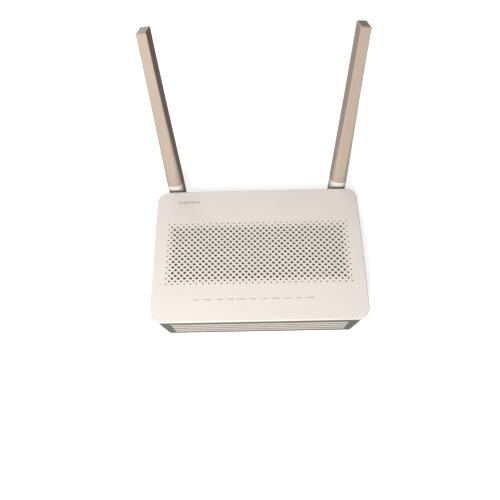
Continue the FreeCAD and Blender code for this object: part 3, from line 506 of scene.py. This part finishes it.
def icon_network(ink):
    for x in (-0.6, 0.0, 0.6):
        ink.disc(x, -0.6, 0.24)
        ink.bar(x, -0.2, 0.08, 0.3)
    ink.bar(0, 0.1, 0.68, 0.08)
    ink.bar(0, 0.45, 0.08, 0.4)
    ink.disc(0, 0.75, 0.24)


def icon_phone(ink):
    ink.bar(0, 0.3, 0.85, 0.22)
    for x in (-0.62, 0.62):
        ink.disc(x, 0.0, 0.32)


def icon_bus(ink):
    ink.bar(0, 0, 0.9, 0.1)
    ink.disc(-0.75, 0, 0.28)
    ink.ring(0.75, 0, 0.28, 0.14)


def icon_radio(ink):
    for i in range(4):
        height = 0.25 + 0.2 * i
        ink.bar(-0.75 + 0.5 * i, height - 0.85, 0.14, height)


def icon_link(ink):
    for x in (-0.4, 0.4):
        ink.ring(x, 0, 0.6)


def icon_current(ink):
    ink.ring(0.15, 0, 0.62)
    ink.disc(0.15, 0, 0.25)
    ink.bar(-0.8, 0, 0.3, 0.1)


INDICATOR_ICONS = [icon_power, icon_fibre, icon_alert] + [icon_network] * 4
INDICATOR_ICONS += [icon_phone, icon_bus, icon_radio, icon_link]


def indicator_marks(ink_material):
    """A pictogram and a short row of ticks over each LED, on the cover."""
    low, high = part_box("indicator_leds")
    half_led = 1.0 * MM
    first, last = low[0] + half_led, high[0] - half_led
    y = (low[1] + high[1]) / 2
    ink = Print()
    for i, icon in enumerate(INDICATOR_ICONS):
        x = first + (last - first) * i / (len(INDICATOR_ICONS) - 1)
        ticks = 3 + (2 * i) % 3
        start = x - (2.6 + 1.2 * ticks) / 2 * ICON
        icon(ink.at(start + ICON, y))
        for k in range(ticks):
            ink.at(start, y).bar(3.0 + 1.2 * k, 0, 0.36, 0.8 if (i + k) % 2 else 0.55)
    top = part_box("top_cover")[1][2]
    ink.finish("indicator_marks", ink_material, Matrix.Translation((0, 0, top)), "cover")


def corner_mark(ink_material):
    """Plain ring and strokes by the rear left corner of the cover."""
    low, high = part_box("top_cover")
    x, y = low[0] + 19.5 * MM, high[1] - 11.0 * MM
    ink = Print().at(x, y, 1.3 * MM)
    ink.ring(0, 0, 1.0, 0.3)
    for k in range(8):
        ink.bar(2.0 + 1.55 * k, 0, 0.4, 0.85 if k % 3 else 0.6)
    ink.finish("corner_mark", ink_material, Matrix.Translation((0, 0, high[2])), "cover")


PORT_ICONS = [
    ("optical_socket", icon_fibre),
    ("lan_jack_1", icon_network),
    ("lan_jack_2", icon_network),
    ("lan_jack_3", icon_network),
    ("lan_jack_4", icon_network),
    ("phone_jack", icon_phone),
    ("usb_port", icon_bus),
    ("dc_jack", icon_current),
    ("power_button", icon_power),
]


def port_marks(ink_material):
    """A pictogram over each socket on the rear wall, seen upright from behind."""
    wall_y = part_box("base_shell")[1][1]
    mark_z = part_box("lan_jack_1")[1][2] + 2.4 * MM
    ink = Print()
    for node, icon in PORT_ICONS:
        low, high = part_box(node)
        icon(ink.at(-(low[0] + high[0]) / 2, mark_z, 1.1 * MM))
    facing_rear = Matrix(((-1, 0, 0, 0), (0, 0, 1, wall_y), (0, 1, 0, 0), (0, 0, 0, 1)))
    ink.finish("port_marks", ink_material, facing_rear, "base")


def label_marks(ink_material):
    """Rows of plain bars and a striped block on the underside label."""
    low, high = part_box("rating_label")
    width, depth = high[0] - low[0], high[1] - low[1]
    rng = random.Random(7)
    ink = Print()
    rows = 6
    for row in range(rows):
        y = low[1] + depth * (0.42 + 0.09 * row)
        x = -high[0] + width * 0.06
        while x < -high[0] + width * 0.52:
            half = rng.uniform(0.8, 2.6) * MM
            ink.at(x + half, y, MM).bar(0, 0, half / MM, 0.45)
            x += 2 * half + 1.2 * MM
    x = -high[0] + width * 0.06
    while x < -low[0] - width * 0.08:
        half = rng.choice((0.15, 0.25, 0.4)) * MM
        ink.at(x, low[1] + depth * 0.2, MM).bar(0, 0, half / MM, 2.6)
        x += 2 * half + rng.choice((0.4, 0.7)) * MM
    side = depth * 0.42 / 11
    for i in range(11):
        for k in range(11):
            if rng.random() < 0.5:
                spot = (-high[0] + width * 0.72 + i * side, low[1] + depth * 0.44 + k * side)
                ink.at(*spot, side * 0.5).bar(0, 0, 0.98, 0.98)
    facing_down = Matrix(((-1, 0, 0, 0), (0, 1, 0, 0), (0, 0, -1, low[2]), (0, 0, 0, 1)))
    ink.finish("label_marks", ink_material, facing_down, "label")


def printed_marks():
    indicator_marks(ink_look("indicator_ink", (0.33, 0.31, 0.29)))
    corner_mark(ink_look("corner_ink", (0.36, 0.33, 0.31)))
    port_marks(ink_look("port_ink", (0.62, 0.60, 0.57)))
    label_marks(ink_look("label_ink", (0.03, 0.03, 0.03)))


# ---------------------------------------------------------------- small parts on the board


BOARD_NODES = [
    "processor",
    "memory_chip",
    "flash_chip",
    "line_chip",
    "wifi_24_shield",
    "wifi_5_shield",
    "lan_transformers",
    "power_inductors",
    "capacitors",
    "tact_switches",
    "board_screws",
    "heat_sink",
    "indicator_leds",
    "optical_module",
    "optical_socket",
    "phone_jack",
    "usb_port",
    "dc_jack",
    "power_switch",
    "left_feed_cable",
    "right_feed_cable",
]


def board_islands():
    """Plan rectangles of all that stands on the board, one for each separate solid."""
    found = []
    for name in BOARD_NODES + [f"lan_jack_{i}" for i in range(1, 5)]:
        bm = bmesh.new()
        bm.from_mesh(frame["nodes"][name].data)
        left = set(bm.verts)
        while left:
            stack = [left.pop()]
            island = []
            while stack:
                vert = stack.pop()
                island.append(vert.co)
                for edge in vert.link_edges:
                    other = edge.other_vert(vert)
                    if other in left:
                        left.remove(other)
                        stack.append(other)
            xs = [co.x for co in island]
            ys = [co.y for co in island]
            found.append((min(xs), max(xs), min(ys), max(ys)))
        bm.free()
    return found


def chip_part(bm, x, y, z, half_w, half_d, height, turned):
    """Two-terminal chip: a body between two plated ends, with slot 0 body and slot 1 ends."""
    if turned:
        half_w, half_d = half_d, half_w
    end = 0.25 * max(half_w, half_d)
    along_x = half_w > half_d
    spans = [(-1.0, -0.5, 1), (-0.5, 0.5, 0), (0.5, 1.0, 1)]
    for start, stop, index in spans:
        grow = 0.03 * MM * index
        if along_x:
            box = (x + half_w * start, x + half_w * stop, y - half_d - grow, y + half_d + grow)
        else:
            box = (x - half_w - grow, x + half_w + grow, y + half_d * start, y + half_d * stop)
        before = len(bm.faces)
        outline = [(box[0], box[2]), (box[1], box[2]), (box[1], box[3]), (box[0], box[3])]
        prism_mesh(bm, outline, z, z + height + grow * 0.5)
        bm.faces.ensure_lookup_table()
        for face in bm.faces[before:]:
            face.material_index = index


PART_COUNT = 150
PART_TRIES = 1500
PART_GAP = 0.9 * MM
PART_SIZES = [(0.8, 0.4, 0.45), (1.0, 0.62, 0.5), (1.6, 0.8, 0.9)]  # half length, half width, height


def surface_mount_parts(materials):
    """Small resistors and capacitors scattered over the free places of the board."""
    low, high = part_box("main_board")
    taken = board_islands()
    rng = random.Random(3)
    bm = bmesh.new()
    placed = 0
    for _ in range(PART_TRIES):
        half_w, half_d, height = [v * MM for v in rng.choice(PART_SIZES)]
        reach = max(half_w, half_d) + PART_GAP
        x = rng.uniform(low[0] + 3 * reach, high[0] - 3 * reach)
        y = rng.uniform(low[1] + 2 * reach, high[1] - 2 * reach)
        if any(a - reach < x < b + reach and c - reach < y < d + reach for a, b, c, d in taken):
            continue
        chip_part(bm, x, y, high[2], half_w, half_d, height, rng.random() < 0.5)
        taken.append((x - half_w, x + half_w, y - half_w, y + half_w))
        placed += 1
        if placed == PART_COUNT:
            break
    looks = [materials["chip"], materials["tin"]]
    piece = mesh_object("surface_mount_parts", bm, looks, smooth=False)
    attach(piece, CASE)


# ---------------------------------------------------------------- the whole


materials = material_table()
add_camera()
add_stage()
dress_cad_nodes(materials)
printed_marks()
surface_mount_parts(materials)
